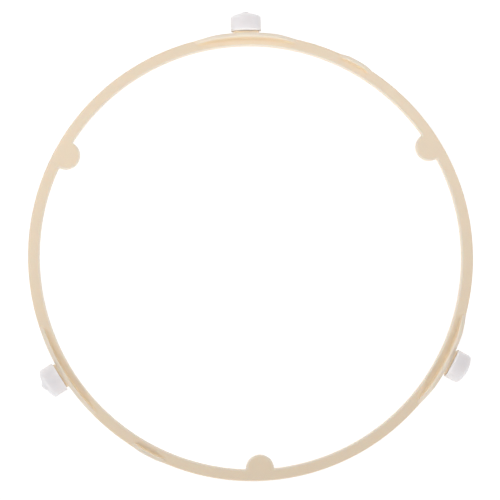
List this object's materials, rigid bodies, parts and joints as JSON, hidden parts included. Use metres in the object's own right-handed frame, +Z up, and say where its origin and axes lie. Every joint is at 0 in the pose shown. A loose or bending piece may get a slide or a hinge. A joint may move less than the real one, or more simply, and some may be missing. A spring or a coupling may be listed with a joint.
{
  "type": "microwave roller ring",
  "caption": "Flat beige ring with upstand walls on its rim, each carrying a domed white roller on a stub axle; it runs under a microwave's glass turntable plate.",
  "frame": {"origin": "centre of the ring on the oven floor that the rollers stand on", "axes": "+Z up along the turntable's axis, towards the glass plate; +Y through the back roller's axle; +X to the right"},
  "size_m": [0.222, 0.2328, 0.015],
  "materials": {
    "beige_plastic": "satin moulded, heat-resistant plastic",
    "white_plastic": "waxy satin white low-friction plastic"
  },
  "bodies": {
    "ring": {"ring_frame": "beige_plastic"},
    "roller_back": {"roller_back": "white_plastic"},
    "roller_left": {"roller_left": "white_plastic"},
    "roller_right": {"roller_right": "white_plastic"}
  },
  "joints": [
    {"name": "roller_back_spin", "type": "hinge", "parent": "ring", "child": "roller_back", "pos_m": [0, 0.11225, 0.0075], "axis": [0, 1, 0], "continuous": true},
    {"name": "roller_left_spin", "type": "hinge", "parent": "ring", "child": "roller_left", "pos_m": [-0.09721, -0.05613, 0.0075], "axis": [-0.866, -0.5, 0], "continuous": true},
    {"name": "roller_right_spin", "type": "hinge", "parent": "ring", "child": "roller_right", "pos_m": [0.09721, -0.05613, 0.0075], "axis": [0.866, -0.5, 0], "continuous": true}
  ]
}
